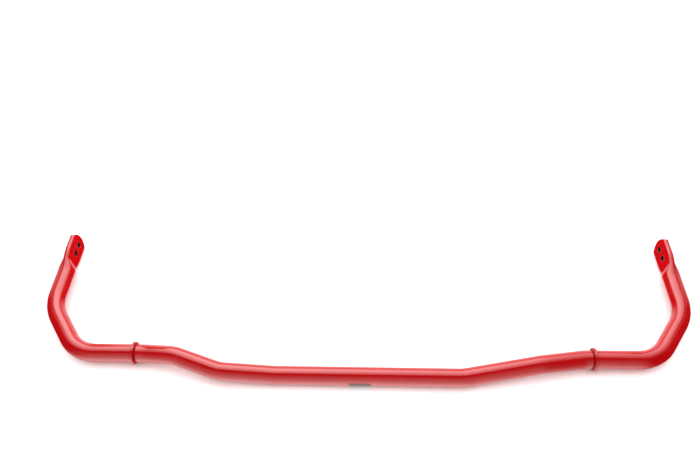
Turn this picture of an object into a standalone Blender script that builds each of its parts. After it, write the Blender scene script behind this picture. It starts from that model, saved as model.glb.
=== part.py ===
"""Front sway bar (anti-roll bar) of a car, lying on a flat surface with its arms pointing back.

One spring-steel tube is bent into a wide U. Its ends are pressed flat and sheared round, with two
bolt holes each for the drop links. The flats lean outwards a little at their upper edge. Two stop
collars sit beside the bushing journals, and a blank label lies on the middle of the tube.

Frame: metres, +Z up. X runs along the journals, +Y runs along the arms towards their tips, and the
origin is at the middle of the bar's box, on the surface that the bar lies on.
"""
import math

import bmesh
import bpy
from mathutils import Matrix, Vector

# Tube
TUBE_RADIUS = 0.014
WALL = 0.005
TUBE_SIDES = 24
BORE_SIDES = 12

# Stop collars
COLLAR_RADIUS = 0.018
COLLAR_WIDTH = 0.006
INNER_CHAMFER = 0.0024
OUTER_CHAMFER = 0.0008
LEFT_COLLAR_X = -0.3555
RIGHT_COLLAR_X = 0.352
COLLAR_SIDES = 32
CLEARANCE = 0.00035

# Heights of the tube's axis above the surface
JOURNAL_HEIGHT = COLLAR_RADIUS
CENTRE_HEIGHT = TUBE_RADIUS

# Pressed ends, whose lengths are measured from the tips
PADDLE_WIDTH = 0.044
PADDLE_THICKNESS = 0.010
PADDLE_TILT = math.radians(5)
FULL_WIDTH_LENGTH = 0.0355
FLAT_LENGTH = 0.0565
RAMP_LENGTH = 0.017
ROUND_FROM = 0.0795
SEAM_GAP = 0.0008
TIP_RADIUS = 0.027
TIP_SWEEP = math.radians(144)
TIP_SIDES = 24
HOLE_RADIUS = 0.00525
HOLE_FROM_TIP = 0.0165
HOLE_PITCH = 0.0185
HOLE_SIDES = 24

# Bends: half the bar's width, measured to the vertices of the axis, and how far back the arms reach
CORNER_X = 0.450
KNEE_X = 0.511
KNEE_REACH = 0.0825
TIP_REACH = 0.2285
ARM_HEIGHT = PADDLE_WIDTH / 2
CENTRE_OFFSET = 0.032
CORNER_BEND = 0.060
KNEE_BEND = 0.080
CENTRE_BEND = 0.080
CRANK_BEND = 0.060

# The cranks between the journals and the middle, as (reach, height, distance from the middle)
LEFT_JOURNAL_END = (0.0, JOURNAL_HEIGHT, 0.340)
LEFT_CRANK_TOP = (-0.007, 0.026, 0.292)
LEFT_CRANK_FOOT = (-0.030, 0.020, 0.220)
LEFT_MIDDLE_END = (-CENTRE_OFFSET, CENTRE_HEIGHT, 0.135)
RIGHT_MIDDLE_END = (-CENTRE_OFFSET, CENTRE_HEIGHT, 0.154)
RIGHT_CRANK = (-0.0125, 0.023, 0.272)
RIGHT_JOURNAL_END = (0.0, JOURNAL_HEIGHT, 0.340)

# Label
LABEL_LENGTH = 0.033
LABEL_X = -0.0033
LABEL_THICKNESS = 0.0004
LABEL_TOP_ANGLE = math.radians(10)
LABEL_BOTTOM_ANGLE = math.radians(-50)
LABEL_STEPS = 8

# The origin is halfway between the front of the label and the tips of the arms.
FRONT = CENTRE_OFFSET + TUBE_RADIUS + CLEARANCE + LABEL_THICKNESS
JOURNAL_Y = -(TIP_REACH - FRONT) / 2

FLAT_STEPS = 4
RAMP_STEPS = 6
STEPS_PER_BEND = 8
STEPS_PER_SLIGHT_BEND = 4
SLIGHT_BEND = math.radians(30)
OVERSHOOT = 0.004
CUTTER_MARGIN = 0.012
CUTTER_DEPTH = 3 * PADDLE_THICKNESS


def clear_scene():
    """Remove every object that the file starts with."""
    for thing in list(bpy.data.objects):
        bpy.data.objects.remove(thing, do_unlink=True)


def make_material(name, colour, roughness, metallic=0.0):
    """A Principled material in one plain colour."""
    material = bpy.data.materials.new(name)
    material.use_nodes = True
    shader = material.node_tree.nodes["Principled BSDF"]
    shader.inputs["Base Color"].default_value = (*colour, 1.0)
    shader.inputs["Roughness"].default_value = roughness
    shader.inputs["Metallic"].default_value = metallic
    return material


def add_object(name, mesh_builder, material=None, smooth_angle=math.radians(40)):
    """Turn a bmesh into a named object with outward faces, shaded smooth except at its edges."""
    bmesh.ops.recalc_face_normals(mesh_builder, faces=mesh_builder.faces)
    mesh = bpy.data.meshes.new(name)
    mesh_builder.to_mesh(mesh)
    mesh_builder.free()
    mesh.shade_smooth()
    mesh.set_sharp_from_angle(angle=smooth_angle)
    thing = bpy.data.objects.new(name, mesh)
    bpy.context.scene.collection.objects.link(thing)
    if material is not None:
        mesh.materials.append(material)
    return thing


def cut(thing, cutter):
    """Subtract a helper object, which stays out of the finished model."""
    cutter.display_type = "WIRE"
    cutter.hide_render = True
    modifier = thing.modifiers.new("cut " + cutter.name, "BOOLEAN")
    modifier.operation = "DIFFERENCE"
    modifier.solver = "EXACT"
    modifier.object = cutter


def smoothstep(value):
    """0 below 0, 1 above 1, and an even curve between."""
    value = min(max(value, 0.0), 1.0)
    return value * value * (3.0 - 2.0 * value)


def axis_vertices():
    """The corners of the tube's axis from the left tip to the right tip, each with its bend radius."""
    arm = [
        ((TIP_REACH, ARM_HEIGHT, KNEE_X), 0.0),
        ((KNEE_REACH, ARM_HEIGHT, KNEE_X), KNEE_BEND),
        ((0.0, JOURNAL_HEIGHT, CORNER_X), CORNER_BEND),
    ]
    left = [
        (LEFT_JOURNAL_END, CENTRE_BEND),
        (LEFT_CRANK_TOP, CRANK_BEND),
        (LEFT_CRANK_FOOT, CRANK_BEND),
        (LEFT_MIDDLE_END, CENTRE_BEND),
    ]
    right = [
        (RIGHT_MIDDLE_END, CENTRE_BEND),
        (RIGHT_CRANK, CENTRE_BEND),
        (RIGHT_JOURNAL_END, CENTRE_BEND),
    ]
    rows = []
    for (reach, height, across), bend in arm + left:
        rows.append((Vector((-across, JOURNAL_Y + reach, height)), bend))
    for (reach, height, across), bend in right + arm[::-1]:
        rows.append((Vector((across, JOURNAL_Y + reach, height)), bend))
    return rows


def bend_points(before, vertex, after, radius):
    """Points along the arc that rounds one corner of the axis, with the tube's direction at each."""
    arrive = (vertex - before).normalized()
    leave = (after - vertex).normalized()
    turn = arrive.angle(leave)
    setback = radius * math.tan(turn / 2)
    start = vertex - arrive * setback
    inward = (leave - arrive * arrive.dot(leave)).normalized()
    centre = start + inward * radius
    steps = STEPS_PER_BEND if turn > SLIGHT_BEND else STEPS_PER_SLIGHT_BEND
    points = []
    for step in range(steps + 1):
        angle = turn * step / steps
        place = centre + radius * (arrive * math.sin(angle) - inward * math.cos(angle))
        points.append((place, arrive * math.cos(angle) + inward * math.sin(angle)))
    return points


def pressed_distances():
    """Distances from a tip at which the pressed end needs a ring."""
    taper = FLAT_LENGTH - FULL_WIDTH_LENGTH
    flat = [FULL_WIDTH_LENGTH + taper * step / FLAT_STEPS for step in range(FLAT_STEPS)]
    ramp = [FLAT_LENGTH + RAMP_LENGTH * step / RAMP_STEPS for step in range(RAMP_STEPS + 1)]
    return flat + ramp + [ROUND_FROM]


def stations():
    """(place, direction, distance from the nearer tip) for every ring along the tube."""
    rows = axis_vertices()
    first, last = rows[0][0], rows[-1][0]
    out_left = (first - rows[1][0]).normalized()
    out_right = (last - rows[-2][0]).normalized()
    ends = [-OVERSHOOT] + pressed_distances()
    left = [(first - out_left * distance, -out_left, distance) for distance in ends]
    right = [(last - out_right * distance, out_right, distance) for distance in reversed(ends)]
    middle = []
    for index in range(1, len(rows) - 1):
        vertex, radius = rows[index]
        for place, direction in bend_points(rows[index - 1][0], vertex, rows[index + 1][0], radius):
            middle.append((place, direction, ROUND_FROM))
    return left + middle + right


def section(sides, inset, half_thickness, distance):
    """One ring as (across, up) pairs: round in the tube, pressed flat near the tip.

    The flat shape has half-round edges. An eighth of the sides lies on each half of a face.
    The thickness has a crease where the flat ends. The width tapers smoothly past the crease.
    """
    press = 1.0
    if distance > FLAT_LENGTH:
        along = min((distance - FLAT_LENGTH) / RAMP_LENGTH, 1.0)
        press = 1.0 - math.sin(along * math.pi / 2)
    widen = smoothstep((ROUND_FROM - distance) / (ROUND_FROM - FULL_WIDTH_LENGTH))
    half_width = PADDLE_WIDTH / 2 - inset
    radius = TUBE_RADIUS - inset
    half_face = sides // 8
    edge = sides // 2 - 2 * half_face
    straight = half_width - half_thickness
    ring = []
    for index in range(sides):
        angle = 2 * math.pi * index / sides
        step = index % (sides // 2)
        if step <= half_face:
            across, up = half_thickness, straight * step / half_face
        elif step >= half_face + edge:
            across, up = -half_thickness, straight * (sides // 2 - step) / half_face
        else:
            edge_angle = math.pi * (step - half_face) / edge
            across = half_thickness * math.cos(edge_angle)
            up = straight + half_thickness * math.sin(edge_angle)
        if index >= sides // 2:
            across, up = -across, -up
        round_across, round_up = radius * math.cos(angle), radius * math.sin(angle)
        ring.append((round_across + (across - round_across) * press, round_up + (up - round_up) * widen))
    return ring


def sweep(name, sides, inset, half_thickness, extra, material=None):
    """A closed body along the bar's axis. extra lengthens both ends, for a cutter."""
    builder = bmesh.new()
    rings = []
    rows = stations()
    for number, (place, direction, distance) in enumerate(rows):
        if number == 0:
            place = place - direction * extra
        if number == len(rows) - 1:
            place = place + direction * extra
        tilt = math.copysign(PADDLE_TILT, place.x)
        across = direction.cross(Vector((math.sin(tilt), 0, math.cos(tilt)))).normalized()
        up = across.cross(direction)
        shape = section(sides, inset, half_thickness, distance)
        rings.append([builder.verts.new(place + across * a + up * b) for a, b in shape])
    for ring, following in zip(rings, rings[1:]):
        for index in range(sides):
            after = (index + 1) % sides
            builder.faces.new((ring[index], ring[after], following[after], following[index]))
    builder.faces.new(rings[0])
    builder.faces.new(rings[-1])
    return add_object(name, builder, material)


def prism_along_x(name, outline, middle_x, depth, tilt=0.0):
    """A closed prism whose (y, z) outline is extruded along X, then tilted about the axis of an arm."""
    builder = bmesh.new()
    low = [builder.verts.new((middle_x - depth / 2, y, z)) for y, z in outline]
    face = builder.faces.new(low)
    grown = bmesh.ops.extrude_face_region(builder, geom=[face])
    moved = [item for item in grown["geom"] if isinstance(item, bmesh.types.BMVert)]
    bmesh.ops.translate(builder, verts=moved, vec=(depth, 0, 0))
    turn = Matrix.Rotation(tilt, 3, "Y")
    bmesh.ops.rotate(builder, verts=builder.verts, cent=(middle_x, 0, ARM_HEIGHT), matrix=turn)
    return add_object(name, builder)


def tip_shear(side, name):
    """The tool that trims a pressed end to a round tip: a block with a round bite."""
    centre_y = JOURNAL_Y + TIP_REACH - TIP_RADIUS
    outline = []
    for step in range(TIP_SIDES + 1):
        angle = TIP_SWEEP * (step / TIP_SIDES - 0.5)
        outline.append((centre_y + TIP_RADIUS * math.cos(angle), ARM_HEIGHT + TIP_RADIUS * math.sin(angle)))
    far_y = centre_y + TIP_RADIUS + CUTTER_MARGIN
    outline.append((far_y, outline[-1][1]))
    outline.append((far_y, outline[0][1]))
    return prism_along_x("shear_" + name, outline, side * KNEE_X, CUTTER_DEPTH, side * PADDLE_TILT)


def bolt_drill(side, name, number):
    """A round cutter for one of the two bolt holes, counted from the tip."""
    centre_y = JOURNAL_Y + TIP_REACH - HOLE_FROM_TIP - number * HOLE_PITCH
    outline = []
    for step in range(HOLE_SIDES):
        angle = 2 * math.pi * step / HOLE_SIDES
        outline.append((centre_y + HOLE_RADIUS * math.cos(angle), ARM_HEIGHT + HOLE_RADIUS * math.sin(angle)))
    drill_name = "drill_%s_%d" % (name, number)
    return prism_along_x(drill_name, outline, side * KNEE_X, CUTTER_DEPTH, side * PADDLE_TILT)


def torsion_bar(material):
    """The bent tube with its bore and its pressed, sheared and drilled ends."""
    bar = sweep("torsion_bar", TUBE_SIDES, 0.0, PADDLE_THICKNESS / 2, 0.0, material)
    bore = sweep("bore", BORE_SIDES, WALL, SEAM_GAP / 2, 2 * OVERSHOOT)
    cut(bar, bore)
    for side, name in ((-1, "left"), (1, "right")):
        cut(bar, tip_shear(side, name))
        for number in range(2):
            cut(bar, bolt_drill(side, name, number))
    return bar


def stop_collar(centre_x, name, material):
    """A ring round the tube at the inner end of a journal, with its wide chamfer towards the middle."""
    inner = TUBE_RADIUS + CLEARANCE
    half = COLLAR_WIDTH / 2
    profile = [
        (-half, inner),
        (-half, COLLAR_RADIUS - INNER_CHAMFER),
        (-half + INNER_CHAMFER, COLLAR_RADIUS),
        (half - OUTER_CHAMFER, COLLAR_RADIUS),
        (half, COLLAR_RADIUS - OUTER_CHAMFER),
        (half, inner),
    ]
    centre = Vector((centre_x, JOURNAL_Y, JOURNAL_HEIGHT))
    outboard = Vector((math.copysign(1, centre_x), 0, 0))
    builder = bmesh.new()
    rings = []
    for step in range(COLLAR_SIDES):
        angle = 2 * math.pi * step / COLLAR_SIDES
        outward = Vector((0, math.cos(angle), math.sin(angle)))
        rings.append([builder.verts.new(centre + outboard * x + outward * radius) for x, radius in profile])
    for ring, following in zip(rings, rings[1:] + rings[:1]):
        for index in range(len(profile)):
            after = (index + 1) % len(profile)
            builder.faces.new((ring[index], ring[after], following[after], following[index]))
    return add_object("stop_collar_" + name, builder, material, math.radians(30))


def blank_label(material):
    """A thin curved label on the lower front of the tube's straight middle."""
    inner = TUBE_RADIUS + CLEARANCE
    outline = []
    for radius in (inner, inner + LABEL_THICKNESS):
        arc = []
        for step in range(LABEL_STEPS + 1):
            angle = LABEL_BOTTOM_ANGLE + (LABEL_TOP_ANGLE - LABEL_BOTTOM_ANGLE) * step / LABEL_STEPS
            y = JOURNAL_Y - CENTRE_OFFSET - radius * math.cos(angle)
            z = CENTRE_HEIGHT + radius * math.sin(angle)
            arc.append((y, z))
        outline += arc if radius == inner else arc[::-1]
    label = prism_along_x("blank_label", outline, LABEL_X, LABEL_LENGTH)
    label.data.materials.append(material)
    return label


def main():
    clear_scene()
    bar_paint = make_material("red_powder_coat", (0.62, 0.012, 0.016), 0.25)
    collar_paint = make_material("collar_powder_coat", (0.58, 0.011, 0.015), 0.28)
    label_film = make_material("label_film", (0.20, 0.17, 0.16), 0.45)
    torsion_bar(bar_paint)
    stop_collar(LEFT_COLLAR_X, "left", collar_paint)
    stop_collar(RIGHT_COLLAR_X, "right", collar_paint)
    blank_label(label_film)


main()
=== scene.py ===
"""Looks of the sway bar: a fine mesh of the bent tube with its pressed ends, two stop collars and a
blank label, in red powder coat on a white surface under soft studio light.

Metres, in the frame of the CAD model: X along the journals, +Y along the arms towards their tips, +Z up.
"""
import math

import bmesh
import bpy
from mathutils import Matrix, Vector
from mathutils.geometry import delaunay_2d_cdt


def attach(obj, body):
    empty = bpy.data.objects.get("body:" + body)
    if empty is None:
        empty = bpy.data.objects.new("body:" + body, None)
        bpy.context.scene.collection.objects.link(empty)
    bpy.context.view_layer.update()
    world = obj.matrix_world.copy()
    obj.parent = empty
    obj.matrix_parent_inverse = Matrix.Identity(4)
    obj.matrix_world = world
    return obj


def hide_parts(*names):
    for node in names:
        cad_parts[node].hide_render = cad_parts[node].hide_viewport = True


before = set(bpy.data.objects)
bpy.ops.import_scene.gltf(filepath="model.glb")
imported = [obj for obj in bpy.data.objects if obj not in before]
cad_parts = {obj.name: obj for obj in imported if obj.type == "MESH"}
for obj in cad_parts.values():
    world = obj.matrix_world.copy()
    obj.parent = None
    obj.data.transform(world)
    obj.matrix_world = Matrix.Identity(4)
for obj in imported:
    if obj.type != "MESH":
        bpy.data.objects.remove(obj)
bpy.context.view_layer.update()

# Tube and its bends, as in the CAD model. The radius is 0.05 mm less than the faceted model's, so that
# the rounder mesh is no wider than the model's box to within 0.01 mm.
TUBE_RADIUS = 0.01395
JOURNAL_HEIGHT = 0.018
CENTRE_HEIGHT = 0.014
CORNER_X = 0.450
KNEE_X = 0.511
KNEE_REACH = 0.0825
TIP_REACH = 0.2285
ARM_HEIGHT = 0.022
CENTRE_OFFSET = 0.032
CORNER_BEND = 0.060
KNEE_BEND = 0.080
CENTRE_BEND = 0.080
CRANK_BEND = 0.060
JOURNAL_Y = -0.090875

# The cranks between the journals and the middle, as (reach, height, distance from the middle)
LEFT_JOURNAL_END = (0.0, JOURNAL_HEIGHT, 0.340)
LEFT_CRANK_TOP = (-0.007, 0.026, 0.292)
LEFT_CRANK_FOOT = (-0.030, 0.020, 0.220)
LEFT_MIDDLE_END = (-CENTRE_OFFSET, CENTRE_HEIGHT, 0.135)
RIGHT_MIDDLE_END = (-CENTRE_OFFSET, CENTRE_HEIGHT, 0.154)
RIGHT_CRANK = (-0.0125, 0.023, 0.272)
RIGHT_JOURNAL_END = (0.0, JOURNAL_HEIGHT, 0.340)

# Pressed ends, whose lengths are measured from the tips
HALF_WIDTH = 0.022
HALF_THICKNESS = 0.005
HALF_FACE = HALF_WIDTH - HALF_THICKNESS
TILT = math.radians(5)
FULL_WIDTH_LENGTH = 0.0355
FLAT_LENGTH = 0.0565
RAMP_LENGTH = 0.017
ROUND_FROM = 0.0795
PLATE_START = 0.0555
FAN_START = 0.020
CREASE_SOFTNESS = 0.0008
TIP_RADIUS = 0.027
HOLE_RADIUS = 0.00525
HOLE_FROM_TIP = 0.0165
HOLE_PITCH = 0.0185
HOLE_EDGE = 0.0004
HOLE_CENTRES = [TIP_RADIUS - HOLE_FROM_TIP - number * HOLE_PITCH for number in range(2)]
TIP_SWEEP = math.asin(HALF_WIDTH / TIP_RADIUS)
SHEAR_EDGE = 0.0008

# The seam between the tube's two walls, which shows in the sheared tip and in the holes
SEAM_HALF_GAP = 0.0004
SEAM_DEPTH = 0.0009
SEAM_LIP = 2.2 * SEAM_HALF_GAP
SEAM_WALL = [(1.0, 0.0), (0.5, 0.15), (0.4, 1.0), (0.0, 1.0)]
SEAM_END_ANGLE = math.asin(HALF_FACE / TIP_RADIUS)
SEAM_FADE = math.radians(6)
GROOVE_MOUTH = 1.3 * SEAM_HALF_GAP
GROOVE_FLOOR = 0.7 * SEAM_HALF_GAP
GROOVE_DEPTH = 0.5 * SEAM_DEPTH

# The ring round the tube: even steps over the faces, then the angles over half of a pressed edge.
# The shares are parts of half a turn: a half of a face, and a whole edge.
FACE_SHARE = 0.25
EDGE_SHARE = 1.0 - 2 * FACE_SHARE
FACE_STEPS = 8
ARC_ANGLES = [10, 20, 30, 40, 50, 60, 70]
CORNER_ANGLES = [72, 74, 76]
CUT_ANGLES = [79, 82, 85, 88, 90]
EDGE_ANGLES = [math.radians(value) for value in [0] + ARC_ANGLES + CORNER_ANGLES + CUT_ANGLES]
CUT_START = EDGE_ANGLES[-1 - len(CUT_ANGLES)]

# How fine the mesh is along the tube
BEND_STEP = 0.0028
LEAST_BEND_STEPS = 6
STRAIGHT_STEP = 0.006
CREASE_STEP = 0.0004
CREASE_RINGS = 7
RAMP_STEPS = 14
RAMP_CROWDING = 1.15
LAST_BLEND_LENGTH = 0.003

# How fine the mesh is on a pressed end
LONG_STEPS = 20
FAN_STEPS = 5
TIP_STEPS = 56
HOLE_SIDES = 56
HOLE_EDGE_STEPS = 3
PLATE_RIM = 0.003
PLATE_MARGIN = 0.0014
GRID_STEP = 0.0030
GRID_ROW_HEIGHT = 0.87 * GRID_STEP
GRID_ROWS = 7
GRID_COLUMNS = 12
SAME_POINT = 1e-7
LEAST_SLOPE = 1e-6


def smoothstep(value):
    """0 below 0, 1 above 1, and an even curve between."""
    value = min(max(value, 0.0), 1.0)
    return value * value * (3.0 - 2.0 * value)


def finish_mesh(name, builder, materials, smooth_angle=math.radians(50)):
    """Turn a bmesh into a named object with outward faces, shaded smooth except at its edges."""
    bmesh.ops.recalc_face_normals(builder, faces=builder.faces)
    mesh = bpy.data.meshes.new(name)
    builder.to_mesh(mesh)
    builder.free()
    mesh.shade_smooth()
    mesh.set_sharp_from_angle(angle=smooth_angle)
    thing = bpy.data.objects.new(name, mesh)
    bpy.context.scene.collection.objects.link(thing)
    for material in materials:
        mesh.materials.append(material)
    return thing


# ---------------------------------------------------------------- the bar's axis

def axis_vertices():
    """The corners of the tube's axis from the left tip to the right tip, each with its bend radius."""
    arm = [
        ((TIP_REACH, ARM_HEIGHT, KNEE_X), 0.0),
        ((KNEE_REACH, ARM_HEIGHT, KNEE_X), KNEE_BEND),
        ((0.0, JOURNAL_HEIGHT, CORNER_X), CORNER_BEND),
    ]
    left = [
        (LEFT_JOURNAL_END, CENTRE_BEND),
        (LEFT_CRANK_TOP, CRANK_BEND),
        (LEFT_CRANK_FOOT, CRANK_BEND),
        (LEFT_MIDDLE_END, CENTRE_BEND),
    ]
    right = [
        (RIGHT_MIDDLE_END, CENTRE_BEND),
        (RIGHT_CRANK, CENTRE_BEND),
        (RIGHT_JOURNAL_END, CENTRE_BEND),
    ]
    rows = []
    for (reach, height, across), bend in arm + left:
        rows.append((Vector((-across, JOURNAL_Y + reach, height)), bend))
    for (reach, height, across), bend in right + arm[::-1]:
        rows.append((Vector((across, JOURNAL_Y + reach, height)), bend))
    return rows


def bend_points(before, vertex, after, radius):
    """Points along the arc that rounds one corner of the axis, with the tube's direction at each."""
    arrive = (vertex - before).normalized()
    leave = (after - vertex).normalized()
    turn = arrive.angle(leave)
    start = vertex - arrive * radius * math.tan(turn / 2)
    inward = (leave - arrive * arrive.dot(leave)).normalized()
    centre = start + inward * radius
    steps = max(LEAST_BEND_STEPS, round(turn * radius / BEND_STEP))
    points = []
    for step in range(steps + 1):
        angle = turn * step / steps
        place = centre + radius * (arrive * math.sin(angle) - inward * math.cos(angle))
        points.append((place, arrive * math.cos(angle) + inward * math.sin(angle)))
    return points


def ramp_distances():
    """Distances from a tip of the rings between the plate and the round tube."""
    near = [PLATE_START + CREASE_STEP * step for step in range(CREASE_RINGS)]
    crease_end = near[-1]
    length = FLAT_LENGTH + RAMP_LENGTH - crease_end
    shares = [(step / RAMP_STEPS) ** RAMP_CROWDING for step in range(1, RAMP_STEPS + 1)]
    far = [crease_end + length * share for share in shares]
    return near + far + [ROUND_FROM - LAST_BLEND_LENGTH, ROUND_FROM]


def stations():
    """(place, direction, distance from the nearer tip) for every ring between the two plates."""
    rows = axis_vertices()
    first, last = rows[0][0], rows[-1][0]
    out_left = (first - rows[1][0]).normalized()
    out_right = (last - rows[-2][0]).normalized()
    ends = ramp_distances()
    out = [(first - out_left * distance, -out_left, distance) for distance in ends]
    tail = [(last - out_right * distance, out_right, distance) for distance in reversed(ends)]
    groups = []
    for index in range(1, len(rows) - 1):
        vertex, radius = rows[index]
        groups.append(bend_points(rows[index - 1][0], vertex, rows[index + 1][0], radius))
    groups.append(tail)
    for group in groups:
        begin, goal = out[-1][0], group[0][0]
        gap = (goal - begin).length
        pieces = max(1, math.ceil(gap / STRAIGHT_STEP))
        heading = (goal - begin).normalized()
        for piece in range(1, pieces):
            out.append((begin + heading * (gap * piece / pieces), heading, ROUND_FROM))
        for item in group:
            out.append((item[0], item[1], item[2] if len(item) == 3 else ROUND_FROM))
    return out


# ---------------------------------------------------------------- the tube's section

def half_ring_fractions():
    """Where the ring's points lie on half of it: from the middle of one face to just before the other."""
    edge = EDGE_ANGLES + [math.pi - angle for angle in reversed(EDGE_ANGLES[:-1])]
    face = [FACE_SHARE * step / FACE_STEPS for step in range(FACE_STEPS)]
    middle = [FACE_SHARE + EDGE_SHARE * angle / math.pi for angle in edge]
    back = [1.0 - FACE_SHARE + FACE_SHARE * step / FACE_STEPS for step in range(1, FACE_STEPS)]
    return face + middle + back


HALF_RING = half_ring_fractions()
EDGE_POINTS = 2 * len(EDGE_ANGLES) - 1


def section_point(fraction, distance):
    """(across, up) of one point of the ring, at a fraction of half a turn from a face's middle."""
    beyond = distance - FLAT_LENGTH
    if beyond < -CREASE_SOFTNESS:
        beyond = 0.0
    elif beyond < CREASE_SOFTNESS:
        beyond = (beyond + CREASE_SOFTNESS) ** 2 / (4 * CREASE_SOFTNESS)
    press = 1.0 - math.sin(min(beyond / RAMP_LENGTH, 1.0) * math.pi / 2)
    widen = smoothstep((ROUND_FROM - distance) / (ROUND_FROM - FULL_WIDTH_LENGTH))
    if fraction <= FACE_SHARE:
        across, up = HALF_THICKNESS, HALF_FACE * fraction / FACE_SHARE
    elif fraction >= 1.0 - FACE_SHARE:
        across, up = -HALF_THICKNESS, HALF_FACE * (1.0 - fraction) / FACE_SHARE
    else:
        edge_angle = math.pi * (fraction - FACE_SHARE) / EDGE_SHARE
        across = HALF_THICKNESS * math.cos(edge_angle)
        up = HALF_FACE + HALF_THICKNESS * math.sin(edge_angle)
    round_across = TUBE_RADIUS * math.cos(math.pi * fraction)
    round_up = TUBE_RADIUS * math.sin(math.pi * fraction)
    return round_across + (across - round_across) * press, round_up + (up - round_up) * widen


def full_section(distance):
    """The whole ring: the half ring and the same half turned by 180 degrees."""
    half = [section_point(fraction, distance) for fraction in HALF_RING]
    return half + [(-across, -up) for across, up in half]


# ---------------------------------------------------------------- the pressed end

def sheared_half_profile(angle):
    """(x, distance from the middle of the tip's arc) over half of the edge, at an angle round the arc."""
    slope = max(abs(math.sin(angle)), LEAST_SLOPE)
    outer = TIP_RADIUS
    face_end = HALF_FACE / slope
    corner_sine = (outer * slope - HALF_FACE) / HALF_THICKNESS
    if corner_sine > math.sin(CUT_START):
        points = []
        for edge_angle in EDGE_ANGLES:
            height = HALF_FACE + HALF_THICKNESS * math.sin(edge_angle)
            points.append((HALF_THICKNESS * math.cos(edge_angle), min(height / slope, outer)))
        return points
    corner_angle = math.asin(corner_sine) if corner_sine > 0.0 else 0.0
    turn = math.pi / 2 - math.atan(math.tan(corner_angle) * slope)
    rounding = SHEAR_EDGE * math.tan(turn / 2)
    arc_end = max(corner_angle - rounding / HALF_THICKNESS, 0.0)
    reach = min(face_end, outer - PLATE_RIM)
    flat_length = (face_end if arc_end > 0.0 else outer - rounding) - reach
    total = flat_length + HALF_THICKNESS * arc_end
    points = []
    for step in range(len(ARC_ANGLES) + 1):
        length = total * step / len(ARC_ANGLES)
        if length <= flat_length:
            points.append((HALF_THICKNESS, reach + length))
        else:
            edge_angle = (length - flat_length) / HALF_THICKNESS
            height = HALF_FACE + HALF_THICKNESS * math.sin(edge_angle)
            points.append((HALF_THICKNESS * math.cos(edge_angle), height / slope))
    start = points[-1]
    corner_x = HALF_THICKNESS * math.cos(corner_angle)
    end_x = corner_x - rounding
    for step in range(1, len(CORNER_ANGLES) + 1):
        t = step / len(CORNER_ANGLES)
        x = (1 - t) ** 2 * start[0] + 2 * t * (1 - t) * corner_x + t * t * end_x
        points.append((x, (1 - t) ** 2 * start[1] + (1 - (1 - t) ** 2) * outer))
    seam = SEAM_DEPTH * smoothstep((SEAM_END_ANGLE - abs(angle)) / SEAM_FADE)
    lip = min(end_x / 2, SEAM_LIP)
    points.append(((lip + end_x) / 2, outer))
    for width_share, depth_share in SEAM_WALL:
        points.append((lip * width_share, outer - seam * depth_share))
    return points


def edge_station_sheared(angle):
    """(x, along, up) points over the sheared edge, from one face to the other."""
    half = sheared_half_profile(angle)
    both = half + [(-x, radial) for x, radial in reversed(half[:-1])]
    return [(x, radial * math.cos(angle), radial * math.sin(angle)) for x, radial in both]


def edge_station_long(distance, up_side, lean):
    """(x, along, up) points over a long rounded edge, at a distance from the tip.

    lean is how far the row of points leans towards the tip for each metre up.
    """
    points = []
    for fraction in HALF_RING[FACE_STEPS:FACE_STEPS + EDGE_POINTS]:
        across, up = section_point(fraction, distance)
        forward = max(up - HALF_FACE, 0.0) * lean
        points.append((across, TIP_RADIUS - distance + forward, up_side * up))
    return points


def inside(point, polygon):
    """Whether a point is inside a polygon, by counting crossings."""
    hit = False
    for (ax, ay), (bx, by) in zip(polygon, polygon[1:] + polygon[:1]):
        if (ay > point[1]) != (by > point[1]):
            if point[0] < ax + (point[1] - ay) * (bx - ax) / (by - ay):
                hit = not hit
    return hit


def clear_of(point, polygon, distance):
    """Whether a point is at least a distance from every corner of a polygon."""
    return all(math.hypot(point[0] - x, point[1] - y) > distance for x, y in polygon)


def fill_face(builder, outline, holes, x, plate):
    """Triangulate a flat face between its outline and its holes, sharing their vertices."""
    loops = [outline] + holes
    verts = [vert for loop in loops for vert in loop]
    flat = [plate.flat(vert.co) for vert in verts]
    edges = []
    borders = []
    start = 0
    for loop in loops:
        count = len(loop)
        edges += [(start + index, start + (index + 1) % count) for index in range(count)]
        borders.append(flat[start:start + count])
        start += count
    border, hole_borders = borders[0], borders[1:]
    keep_off = HOLE_RADIUS + HOLE_EDGE + PLATE_MARGIN
    grid = []
    for row in range(-GRID_ROWS, GRID_ROWS + 1):
        for column in range(-GRID_COLUMNS, GRID_COLUMNS):
            point = (GRID_STEP * (column + 0.5 * (row % 2)), GRID_ROW_HEIGHT * row)
            if not inside(point, border) or not clear_of(point, border, PLATE_MARGIN):
                continue
            if all(math.hypot(point[0] - centre, point[1]) > keep_off for centre in HOLE_CENTRES):
                grid.append(point)
    points = [Vector(point) for point in flat + grid]
    placed, _, triangles, _, _, _ = delaunay_2d_cdt(points, edges, [], 0, SAME_POINT)
    if len(placed) != len(points):
        raise ValueError("a pressed face has points that coincide")
    for along, up in grid:
        verts.append(builder.verts.new(plate.place(x, along, up)))
    for corners in triangles:
        middle = sum((Vector(placed[index]) for index in corners), Vector((0, 0))) / 3
        if inside(middle, border) and not any(inside(middle, hole) for hole in hole_borders):
            builder.faces.new([verts[index] for index in corners])


class Plate:
    """The leaning frame of one pressed end, from the middle of its tip's arc."""

    def __init__(self, side):
        self.origin = Vector((side * KNEE_X, JOURNAL_Y + TIP_REACH - TIP_RADIUS, ARM_HEIGHT))
        self.outward = Vector((side * math.cos(TILT), 0.0, -math.sin(TILT)))
        self.up = Vector((side * math.sin(TILT), 0.0, math.cos(TILT)))

    def place(self, x, along, up):
        """The point in space at x outward, along towards the tip and up."""
        return self.origin + self.outward * x + Vector((0.0, along, 0.0)) + self.up * up

    def flat(self, point):
        """(along, up) of a point in space."""
        away = point - self.origin
        return away.y, away.dot(self.up)


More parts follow.
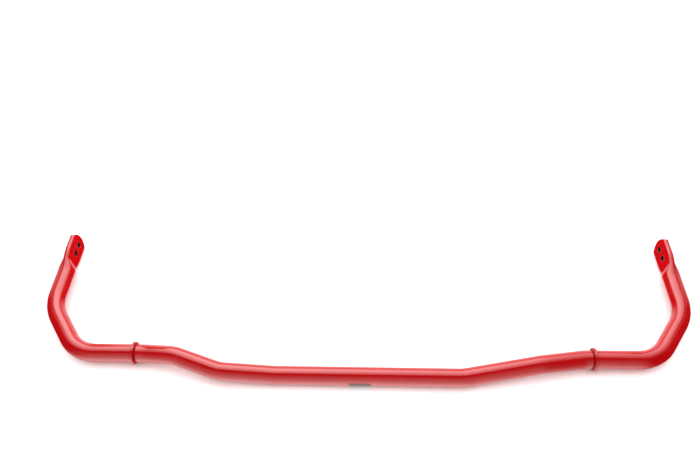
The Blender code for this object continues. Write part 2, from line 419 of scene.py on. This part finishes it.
def bridge(builder, first, second, closed=False, material_index=0):
    """Quads between two rows of vertices of the same length."""
    count = len(first) if closed else len(first) - 1
    for index in range(count):
        after = (index + 1) % len(first)
        face = builder.faces.new((first[index], first[after], second[after], second[index]))
        face.material_index = material_index


def hole_profile():
    """(x, radius) down the wall of a bolt hole, with broken edges and the seam halfway."""
    edge = []
    for step in range(HOLE_EDGE_STEPS + 1):
        angle = math.pi / 2 * step / HOLE_EDGE_STEPS
        edge.append((
            HALF_THICKNESS - HOLE_EDGE * (1 - math.cos(angle)),
            HOLE_RADIUS + HOLE_EDGE * (1 - math.sin(angle)),
        ))
    groove = [(GROOVE_MOUTH, HOLE_RADIUS), (GROOVE_FLOOR, HOLE_RADIUS + GROOVE_DEPTH)]
    half = edge + groove
    return half + [(-x, radius) for x, radius in reversed(half)]


def rim_stations():
    """Every row of points over the rim, from the upper shoulder round the tip to the lower shoulder."""
    long_rows = []
    for step in range(1, LONG_STEPS + 1):
        distance = PLATE_START + (FAN_START - PLATE_START) * step / LONG_STEPS
        long_rows.append((distance, 0.0))
    fan_end = TIP_RADIUS - HALF_FACE / math.tan(TIP_SWEEP)
    fan_lean = 1.0 / math.tan(TIP_SWEEP)
    for step in range(1, FAN_STEPS):
        distance = FAN_START + (fan_end - FAN_START) * step / FAN_STEPS
        long_rows.append((distance, fan_lean * step / FAN_STEPS))
    upper = [edge_station_long(distance, 1, lean) for distance, lean in long_rows]
    lower = [edge_station_long(distance, -1, lean) for distance, lean in reversed(long_rows)]
    tip = []
    for step in range(TIP_STEPS + 1):
        tip.append(edge_station_sheared(TIP_SWEEP * (1 - 2 * step / TIP_STEPS)))
    return upper + tip + lower


def pressed_end(builder, ring, side):
    """The flat plate of one end, joined to the ring of the tube at its shoulder."""
    plate = Plate(side)
    half = len(HALF_RING)
    top = ring[FACE_STEPS:FACE_STEPS + EDGE_POINTS]
    bottom = ring[half + FACE_STEPS:half + FACE_STEPS + EDGE_POINTS][::-1]
    rim = [top]
    for station in rim_stations():
        rim.append([builder.verts.new(plate.place(*point)) for point in station])
    rim.append(bottom)
    for first, second in zip(rim, rim[1:]):
        bridge(builder, first, second)
    hole_edges = []
    for centre in HOLE_CENTRES:
        rows = []
        for x, radius in hole_profile():
            row = []
            for step in range(HOLE_SIDES):
                angle = 2 * math.pi * step / HOLE_SIDES
                place = plate.place(x, centre + radius * math.cos(angle), radius * math.sin(angle))
                row.append(builder.verts.new(place))
            rows.append(row)
        for index, (first, second) in enumerate(zip(rows, rows[1:])):
            # The walls between the broken edges take the dark steel, which is bare steel and partly painted
            # shade.
            bare_and_shaded = HOLE_EDGE_STEPS - 1 < index < len(rows) - 1 - HOLE_EDGE_STEPS
            bridge(builder, first, second, closed=True, material_index=1 if bare_and_shaded else 0)
        hole_edges.append((rows[0], rows[-1]))
    crease_front = ring[half + FACE_STEPS + EDGE_POINTS:] + ring[:FACE_STEPS]
    crease_back = ring[FACE_STEPS + EDGE_POINTS:half + FACE_STEPS][::-1]
    front = [station[0] for station in rim] + crease_front
    back = [station[-1] for station in rim] + crease_back
    fill_face(builder, front, [edges[0] for edges in hole_edges], HALF_THICKNESS, plate)
    fill_face(builder, back, [edges[1] for edges in hole_edges], -HALF_THICKNESS, plate)


def bar_piece(materials):
    """The whole bent bar as one closed mesh."""
    builder = bmesh.new()
    rings = []
    for place, direction, distance in stations():
        lean = math.copysign(TILT, place.x)
        across = direction.cross(Vector((math.sin(lean), 0, math.cos(lean)))).normalized()
        up = across.cross(direction)
        rings.append([builder.verts.new(place + across * a + up * b) for a, b in full_section(distance)])
    for first, second in zip(rings, rings[1:]):
        bridge(builder, first, second, closed=True)
    pressed_end(builder, rings[0], -1)
    pressed_end(builder, rings[-1], 1)
    return finish_mesh("bent_bar", builder, materials)


# ---------------------------------------------------------------- collars and label

LEFT_COLLAR_X = -0.3555
RIGHT_COLLAR_X = 0.352
COLLAR_RADIUS = 0.018
COLLAR_WIDTH = 0.006
COLLAR_STEPS = 128
COLLAR_CHAMFER = 0.0024
CHAMFER_STEPS = 4
COLLAR_ROUNDING = 0.0005
ROUNDING_STEPS = 6
COLLAR_OVERLAP = 0.0003


def collar_profile():
    """(x, radius) of a collar, from its chamfered face towards the middle to its outboard face."""
    half = COLLAR_WIDTH / 2
    seat = TUBE_RADIUS - COLLAR_OVERLAP
    chamfer_end = -half + COLLAR_CHAMFER
    points = [(-half, seat), (-half, COLLAR_RADIUS - COLLAR_CHAMFER - COLLAR_ROUNDING)]
    for step in range(CHAMFER_STEPS + 1):
        points.append((
            -half + COLLAR_CHAMFER * step / CHAMFER_STEPS,
            COLLAR_RADIUS - COLLAR_CHAMFER * (1 - step / CHAMFER_STEPS),
        ))
    points.append((chamfer_end + COLLAR_ROUNDING, COLLAR_RADIUS))
    for step in range(ROUNDING_STEPS + 1):
        angle = math.pi / 2 * step / ROUNDING_STEPS
        points.append((
            half - COLLAR_ROUNDING * (1 - math.sin(angle)),
            COLLAR_RADIUS - COLLAR_ROUNDING * (1 - math.cos(angle)),
        ))
    return points + [(half, seat)]


def collar_piece(centre_x, name, materials):
    """A ring round the tube at a journal's inner end. Its face and chamfer there take the second material,
    painted shade: a darker, less glossy copy of the coat.
    """
    builder = bmesh.new()
    profile = collar_profile()
    outboard = math.copysign(1.0, centre_x)
    rows = []
    for step in range(COLLAR_STEPS):
        angle = 2 * math.pi * step / COLLAR_STEPS
        row = []
        for x, radius in profile:
            row.append(builder.verts.new((
                centre_x + outboard * x,
                JOURNAL_Y + radius * math.cos(angle),
                JOURNAL_HEIGHT + radius * math.sin(angle),
            )))
        rows.append(row)
    for first, second in zip(rows, rows[1:] + rows[:1]):
        bridge(builder, first, second, closed=True)
    ring = finish_mesh(name, builder, materials, math.radians(60))
    # Painted shade: the inner face and the chamfer take the darker, less glossy copy of the coat.
    chamfer_end = centre_x + outboard * (COLLAR_CHAMFER - COLLAR_WIDTH / 2)
    for face in ring.data.polygons:
        if (face.center.x - chamfer_end) * outboard < 0.0:
            face.material_index = 1
    return ring


LABEL_HALF_LENGTH = 0.0165
LABEL_X = -0.0033
LABEL_TOP = math.radians(10)
LABEL_BOTTOM = math.radians(-50)
LABEL_BACK = 0.00003
LABEL_FRONT = 0.00030
LABEL_RADII = (TUBE_RADIUS + LABEL_BACK, TUBE_RADIUS + LABEL_FRONT)
LABEL_CORNER_POWER = 7.0
LABEL_PULL_ALONG = 0.10
LABEL_PULL_UP = 0.20
LABEL_COLUMNS = 40
LABEL_ROWS = 16


def label_piece(material):
    """A thin film with rounded corners on the lower front of the middle."""
    builder = bmesh.new()
    middle_angle = (LABEL_TOP + LABEL_BOTTOM) / 2
    half_angle = (LABEL_TOP - LABEL_BOTTOM) / 2
    sheets = []
    for radius in LABEL_RADII:
        sheet = []
        for row in range(LABEL_ROWS + 1):
            height = 2.0 * row / LABEL_ROWS - 1.0
            line = []
            for column in range(LABEL_COLUMNS + 1):
                along = 2.0 * column / LABEL_COLUMNS - 1.0
                corner = abs(height * along) ** LABEL_CORNER_POWER
                angle = middle_angle + half_angle * height * (1.0 - LABEL_PULL_UP * corner)
                line.append(builder.verts.new((
                    LABEL_X + LABEL_HALF_LENGTH * along * (1.0 - LABEL_PULL_ALONG * corner),
                    JOURNAL_Y - CENTRE_OFFSET - radius * math.cos(angle),
                    CENTRE_HEIGHT + radius * math.sin(angle),
                )))
            sheet.append(line)
        for first, second in zip(sheet, sheet[1:]):
            bridge(builder, first, second)
        border = sheet[0] + [line[-1] for line in sheet[1:-1]] + sheet[-1][::-1]
        border += [line[0] for line in sheet[-2:0:-1]]
        sheets.append(border)
    bridge(builder, sheets[0], sheets[1], closed=True)
    return finish_mesh("blank_film", builder, [material])


# ---------------------------------------------------------------- materials

RED = (0.60, 0.0008, 0.0030)
DEEP_RED = (0.57, 0.0007, 0.0027)
# Painted shade: a darker, less glossy copy of the collar's red for its inner face and chamfer, where they lie
# in shade.
SHADED_CHAMFER_RED = (0.37, 0.0006, 0.0018)
SHADED_CHAMFER_DEEP_RED = (0.33, 0.0005, 0.0016)
SHADED_CHAMFER_SHINE = 0.25
# Partly painted shade: the steel inside the bolt holes is much darker than bare steel, standing in for the
# shade in the holes.
SHADED_BROWN_STEEL = (0.060, 0.016, 0.009)
SHADED_DARKEST_STEEL = (0.020, 0.007, 0.004)
PALE_FILM = (0.150, 0.075, 0.068)
DARK_FILM = (0.105, 0.050, 0.045)
WHITE = (0.92, 0.92, 0.92)
OFF_WHITE = (0.90, 0.90, 0.90)


def node_material(name):
    """A new material with its node tree and its Principled shader."""
    material = bpy.data.materials.new(name)
    material.use_nodes = True
    tree = material.node_tree
    return material, tree, tree.nodes["Principled BSDF"]


def noise(tree, scale, detail):
    """A noise texture in the object's own metres."""
    node = tree.nodes.new("ShaderNodeTexNoise")
    node.inputs["Scale"].default_value = scale
    node.inputs["Detail"].default_value = detail
    metres = tree.nodes.new("ShaderNodeTexCoord").outputs["Object"]
    tree.links.new(metres, node.inputs["Vector"])
    return node


def ramp(tree, source, stops):
    """A colour ramp over a value. stops are (position, colour) pairs."""
    node = tree.nodes.new("ShaderNodeValToRGB")
    elements = node.color_ramp.elements
    while len(elements) < len(stops):
        elements.new(0.5)
    for element, (position, colour) in zip(elements, stops):
        element.position = position
        element.color = (*colour, 1.0)
    tree.links.new(source, node.inputs["Fac"])
    return node


def map_range(tree, source, low, high):
    """A value from 0 to 1 brought between low and high."""
    node = tree.nodes.new("ShaderNodeMapRange")
    node.inputs["To Min"].default_value = low
    node.inputs["To Max"].default_value = high
    tree.links.new(source, node.inputs["Value"])
    return node


def bump(tree, height, distance, strength, below=None):
    """A bump over a height, laid over another bump if there is one."""
    node = tree.nodes.new("ShaderNodeBump")
    node.inputs["Distance"].default_value = distance
    node.inputs["Strength"].default_value = strength
    tree.links.new(height, node.inputs["Height"])
    if below is not None:
        tree.links.new(below.outputs["Normal"], node.inputs["Normal"])
    return node


def powder_coat(name, colour, deeper, shine=0.5):
    """Glossy powder coat: even colour, a fine orange peel and slightly uneven gloss."""
    material, tree, shader = node_material(name)
    cloud = noise(tree, scale=14.0, detail=3.0)
    tint = ramp(tree, cloud.outputs["Fac"], [(0.35, deeper), (0.65, colour)])
    tree.links.new(tint.outputs["Color"], shader.inputs["Base Color"])
    gloss = noise(tree, scale=60.0, detail=4.0)
    gloss_range = map_range(tree, gloss.outputs["Fac"], low=0.10, high=0.16)
    tree.links.new(gloss_range.outputs["Result"], shader.inputs["Roughness"])
    peel = noise(tree, scale=420.0, detail=2.0)
    peel_bump = bump(tree, peel.outputs["Fac"], distance=0.00012, strength=0.12)
    wave = noise(tree, scale=90.0, detail=1.0)
    wave_bump = bump(tree, wave.outputs["Fac"], distance=0.0004, strength=0.08, below=peel_bump)
    tree.links.new(wave_bump.outputs["Normal"], shader.inputs["Normal"])
    shader.inputs["IOR"].default_value = 1.5
    shader.inputs["Specular IOR Level"].default_value = shine
    return material


def hole_steel_and_painted_shade(name):
    """Bare steel with a brown cast inside the bolt holes, painted far darker than steel as painted shade for
    the depth of the holes.
    """
    material, tree, shader = node_material(name)
    cloud = noise(tree, scale=300.0, detail=4.0)
    tint = ramp(tree, cloud.outputs["Fac"], [(0.3, SHADED_DARKEST_STEEL), (0.7, SHADED_BROWN_STEEL)])
    tree.links.new(tint.outputs["Color"], shader.inputs["Base Color"])
    rough = map_range(tree, cloud.outputs["Fac"], low=0.45, high=0.7)
    tree.links.new(rough.outputs["Result"], shader.inputs["Roughness"])
    shader.inputs["Metallic"].default_value = 0.3
    return material


def film(name):
    """Matt brownish grey film with a fine grain."""
    material, tree, shader = node_material(name)
    cloud = noise(tree, scale=350.0, detail=3.0)
    tint = ramp(tree, cloud.outputs["Fac"], [(0.3, DARK_FILM), (0.7, PALE_FILM)])
    tree.links.new(tint.outputs["Color"], shader.inputs["Base Color"])
    rough = map_range(tree, cloud.outputs["Fac"], low=0.5, high=0.62)
    tree.links.new(rough.outputs["Result"], shader.inputs["Roughness"])
    grain = noise(tree, scale=2500.0, detail=2.0)
    grain_bump = bump(tree, grain.outputs["Fac"], distance=0.00005, strength=0.25)
    tree.links.new(grain_bump.outputs["Normal"], shader.inputs["Normal"])
    return material


# ---------------------------------------------------------------- camera, floor and light

SENSOR_WIDTH = 36.0
LENS = 34.338
CAMERA_PLACE = (0.01642, -0.606385, 0.93335)
CAMERA_ELEVATION = math.radians(50.11)
CAMERA_HEADING = math.radians(-3.22)
CAMERA_ROLL = math.radians(-2.05)


def camera():
    """The photograph's viewing angle: about 50 degrees above the horizon."""
    data = bpy.data.cameras.new("camera")
    data.sensor_width = SENSOR_WIDTH
    data.lens = LENS
    thing = bpy.data.objects.new("camera", data)
    bpy.context.scene.collection.objects.link(thing)
    forward = Vector((
        math.sin(CAMERA_HEADING) * math.cos(CAMERA_ELEVATION),
        math.cos(CAMERA_HEADING) * math.cos(CAMERA_ELEVATION),
        -math.sin(CAMERA_ELEVATION),
    ))
    level = Vector((math.cos(CAMERA_HEADING), -math.sin(CAMERA_HEADING), 0.0))
    upright = level.cross(forward)
    right = level * math.cos(CAMERA_ROLL) + upright * math.sin(CAMERA_ROLL)
    up = upright * math.cos(CAMERA_ROLL) - level * math.sin(CAMERA_ROLL)
    turn = Matrix((right, up, -forward)).transposed().to_4x4()
    thing.matrix_world = Matrix.Translation(CAMERA_PLACE) @ turn
    bpy.context.scene.camera = thing


FLOOR_HALF_WIDTH = 30.0


def floor_piece():
    """A wide white matt surface. Reflections see the world's gradient in its place."""
    builder = bmesh.new()
    bmesh.ops.create_grid(builder, x_segments=8, y_segments=8, size=FLOOR_HALF_WIDTH)
    material, tree, shader = node_material("white_surface")
    grain = noise(tree, scale=6.0, detail=2.0)
    tint = ramp(tree, grain.outputs["Fac"], [(0.3, OFF_WHITE), (0.7, WHITE)])
    tree.links.new(tint.outputs["Color"], shader.inputs["Base Color"])
    shader.inputs["Roughness"].default_value = 0.9
    shader.inputs["Specular IOR Level"].default_value = 0.0
    thing = finish_mesh("surface", builder, [material])
    thing.visible_glossy = False
    return thing


def panel(name, centre, target, width, height, radiance):
    """A rectangular soft light that faces a target."""
    data = bpy.data.lights.new(name, "AREA")
    data.shape = "RECTANGLE"
    data.size = width
    data.size_y = height
    data.energy = radiance * width * height * math.pi
    thing = bpy.data.objects.new(name, data)
    bpy.context.scene.collection.objects.link(thing)
    aim = (Vector(target) - Vector(centre)).normalized()
    thing.matrix_world = Matrix.Translation(centre) @ aim.to_track_quat("-Z", "Y").to_matrix().to_4x4()
    thing.visible_camera = False
    return thing


# The white surface as the paint mirrors it: degrees over the top from the horizon behind, and radiance
SURFACE_LEVELS = [
    (-90, 1.0),
    (-50, 0.8),
    (-20, 1.7),
    (8, 1.65),
    (20, 0.9),
    (28, 0.4),
    (42, 0.0),
    (108, 0.0),
    (125, 0.4),
    (160, 1.6),
    (185, 2.5),
    (210, 3.4),
    (228, 3.3),
    (248, 2.0),
    (270, 1.0),
]
BRIGHTEST = 4.0

# How far to the sides it reaches, as the sideways parts of a direction where it starts and ends to fade
REACH_BEHIND = (0.42, 0.72)
REACH_BEFORE = (0.25, 0.85)
BEFORE_SHIFT = 0.12
NARROWING = 0.25
NARROWING_HEIGHTS = (-0.2, -0.6)
FRONT_TO_BACK = (-0.1, 0.1)

# The white tent that lights the bar, from in front to behind, and the background behind the surface
TENT_RISE = (-0.7, 0.2)
TENT_LEVELS = (0.15, 1.55)
BACKGROUND = 1.0

# The soft box behind and above: metres from its middle or from its lower edge, and share of its radiance
SOFT_BOX_CENTRE = (0.0, 0.68, 1.35)
SOFT_BOX_ELEVATION = math.radians(52)
SOFT_BOX_RADIANCE = 7.8
SOFT_BOX_ACROSS = [
    (-2.4, 0.0),
    (-1.45, 0.6),
    (-0.85, 0.95),
    (-0.4, 1.0),
    (0.3, 0.78),
    (0.7, 0.52),
    (1.3, 0.25),
    (2.2, 0.0),
]
SOFT_BOX_UP = [
    (0.0, 0.0),
    (0.39, 0.40),
    (0.70, 0.92),
    (1.0, 1.0),
    (1.3, 0.85),
    (1.85, 0.57),
    (2.25, 0.42),
    (2.55, 0.2),
    (2.7, 0.0),
]

# The cards beside the arms
CARD_PLACE = (0.76, 0.45, 0.05)
CARD_RADIANCE = 1.0
CARD_ACROSS = [(-0.35, 0.0), (-0.25, 1.0), (0.25, 1.0), (0.35, 0.0)]
CARD_UP = [(-0.5, 1.0), (0.2, 1.0), (0.5, 0.0)]


def math_node(tree, operation, *values):
    """A Math node over sockets or numbers, and its result."""
    node = tree.nodes.new("ShaderNodeMath")
    node.operation = operation
    for socket, value in zip(node.inputs, values):
        if isinstance(value, (int, float)):
            socket.default_value = value
        else:
            tree.links.new(value, socket)
    return node.outputs["Value"]


def soft_step(tree, source, start, end, low=0.0, high=1.0):
    """A smooth change from low, at start, to high, at end."""
    node = tree.nodes.new("ShaderNodeMapRange")
    node.interpolation_type = "SMOOTHSTEP"
    node.inputs["From Min"].default_value = start
    node.inputs["From Max"].default_value = end
    node.inputs["To Min"].default_value = low
    node.inputs["To Max"].default_value = high
    tree.links.new(source, node.inputs["Value"])
    return node.outputs["Result"]


def choose(tree, switch, first, second):
    """first where the switch is 0, second where it is 1."""
    node = tree.nodes.new("ShaderNodeMix")
    factor, _, number_a, number_b = node.inputs[:4]
    for socket, value in ((factor, switch), (number_a, first), (number_b, second)):
        if isinstance(value, (int, float)):
            socket.default_value = value
        else:
            tree.links.new(value, socket)
    return node.outputs[0]


def mirrored_surface(tree, x, y, z):
    """White surface before and behind the bar, and dark sides, as reflections see them."""
    angle = math_node(tree, "WRAP", math_node(tree, "ARCTAN2", z, y), 1.5 * math.pi, -0.5 * math.pi)
    part = math_node(tree, "MULTIPLY_ADD", angle, 0.5 / math.pi, 0.25)
    stops = [((degrees + 90) / 360, [level / BRIGHTEST] * 3) for degrees, level in SURFACE_LEVELS]
    round_bar = ramp(tree, part, stops)
    aside = math_node(tree, "ABSOLUTE", x)
    narrower = math_node(tree, "ADD", aside, soft_step(tree, z, *NARROWING_HEIGHTS, 0.0, NARROWING))
    behind = soft_step(tree, narrower, *REACH_BEHIND, 1.0, 0.0)
    shifted_aside = math_node(tree, "ABSOLUTE", math_node(tree, "ADD", x, BEFORE_SHIFT))
    before = soft_step(tree, shifted_aside, *REACH_BEFORE, 1.0, 0.0)
    width = choose(tree, soft_step(tree, y, *FRONT_TO_BACK), before, behind)
    share = math_node(tree, "MULTIPLY", round_bar.outputs["Color"], width)
    return math_node(tree, "MULTIPLY", share, BRIGHTEST)


def reflector(name, place, radiance, across, up):
    """A glowing card that only reflections see, with (metres, share of its radiance) stops both ways."""
    width, height = across[-1][0] - across[0][0], up[-1][0] - up[0][0]
    builder = bmesh.new()
    bmesh.ops.create_grid(builder, x_segments=4, y_segments=4, size=0.5)
    bmesh.ops.scale(builder, vec=(width, height, 1.0), verts=builder.verts)
    material = bpy.data.materials.new(name)
    material.use_nodes = True
    tree = material.node_tree
    tree.nodes.clear()
    split = tree.nodes.new("ShaderNodeSeparateXYZ")
    tree.links.new(tree.nodes.new("ShaderNodeTexCoord").outputs["Generated"], split.inputs["Vector"])
    levels = []
    for axis, stops, length in (("X", across, width), ("Y", up, height)):
        even = [((metres - stops[0][0]) / length, [share] * 3) for metres, share in stops]
        levels.append(ramp(tree, split.outputs[axis], even).outputs["Color"])
    glow = tree.nodes.new("ShaderNodeEmission")
    share = math_node(tree, "MULTIPLY", *levels)
    tree.links.new(math_node(tree, "MULTIPLY", share, radiance), glow.inputs["Strength"])
    tree.links.new(glow.outputs["Emission"], tree.nodes.new("ShaderNodeOutputMaterial").inputs["Surface"])
    material.cycles.emission_sampling = "NONE"
    thing = finish_mesh(name, builder, [material])
    thing.matrix_world = place
    thing.visible_camera = False
    thing.visible_diffuse = False
    thing.visible_shadow = False
    return thing


def soft_box():
    """The large soft box behind and above the bar, which makes the long highlights."""
    turn = Matrix((
        (1.0, 0.0, 0.0),
        (0.0, -math.sin(SOFT_BOX_ELEVATION), -math.cos(SOFT_BOX_ELEVATION)),
        (0.0, math.cos(SOFT_BOX_ELEVATION), -math.sin(SOFT_BOX_ELEVATION)),
    )).to_4x4()
    place = Matrix.Translation(SOFT_BOX_CENTRE) @ turn
    return reflector("soft_box", place, SOFT_BOX_RADIANCE, SOFT_BOX_ACROSS, SOFT_BOX_UP)


def side_card(side):
    """A white card beside the end of an arm, which lightens its outer flank."""
    turn = Matrix(((0.0, 0.0, 1.0), (1.0, 0.0, 0.0), (0.0, 1.0, 0.0))).to_4x4()
    across, along, height = CARD_PLACE
    place = Matrix.Translation((side * across, along, height)) @ turn
    name = "left_card" if side < 0 else "right_card"
    return reflector(name, place, CARD_RADIANCE, CARD_ACROSS, CARD_UP)


def surroundings():
    """A soft white tent, darker in front. Mirrored rays meet mirrored_surface instead."""
    world = bpy.data.worlds.new("studio")
    bpy.context.scene.world = world
    world.use_nodes = True
    tree = world.node_tree
    direction = tree.nodes.new("ShaderNodeTexCoord").outputs["Generated"]
    split = tree.nodes.new("ShaderNodeSeparateXYZ")
    tree.links.new(direction, split.inputs["Vector"])
    x, y, z = (split.outputs[axis] for axis in "XYZ")
    path = tree.nodes.new("ShaderNodeLightPath")
    tent = soft_step(tree, y, *TENT_RISE, *TENT_LEVELS)
    seen = choose(tree, path.outputs["Is Camera Ray"], tent, BACKGROUND)
    strength = choose(tree, path.outputs["Is Glossy Ray"], seen, mirrored_surface(tree, x, y, z))
    background = tree.nodes["Background"]
    background.inputs["Color"].default_value = (1.0, 1.0, 1.0, 1.0)
    tree.links.new(strength, background.inputs["Strength"])


camera()
bpy.context.scene.view_settings.view_transform = "Standard"
paint = powder_coat("bar_powder_coat", RED, DEEP_RED)
# The second coat is painted shade for the collars' inner faces and chamfers.
collar_paint_and_painted_shade = [
    powder_coat("collar_powder_coat", RED, DEEP_RED),
    powder_coat("chamfer_coat_painted_shade", SHADED_CHAMFER_RED, SHADED_CHAMFER_DEEP_RED, SHADED_CHAMFER_SHINE),
]
bar = bar_piece([paint, hole_steel_and_painted_shade("bolt_hole_steel")])
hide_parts("torsion_bar")
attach(bar, "root")
for centre_x, node in ((LEFT_COLLAR_X, "stop_collar_left"), (RIGHT_COLLAR_X, "stop_collar_right")):
    collar = collar_piece(centre_x, node.replace("stop_", "") + "_ring", collar_paint_and_painted_shade)
    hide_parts(node)
    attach(collar, "root")
label = label_piece(film("grey_film"))
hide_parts("blank_label")
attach(label, "root")

surface = floor_piece()
surroundings()
soft_box()
for side in (-1, 1):
    side_card(side)
lit = bpy.data.collections.new("lit_by_surface_washes")
lit.objects.link(surface)
overhead_wash = panel(
    "overhead_wash", centre=(0.0, 0.1, 2.0), target=(0.0, 0.1, 0.0), width=3.0, height=3.0, radiance=1.6,
)
front_wash = panel(
    "front_wash", centre=(0.0, -1.6, 0.75), target=(0.0, -0.1, 0.0), width=3.4, height=1.1, radiance=1.0,
)
for wash in (overhead_wash, front_wash):
    wash.light_linking.receiver_collection = lit
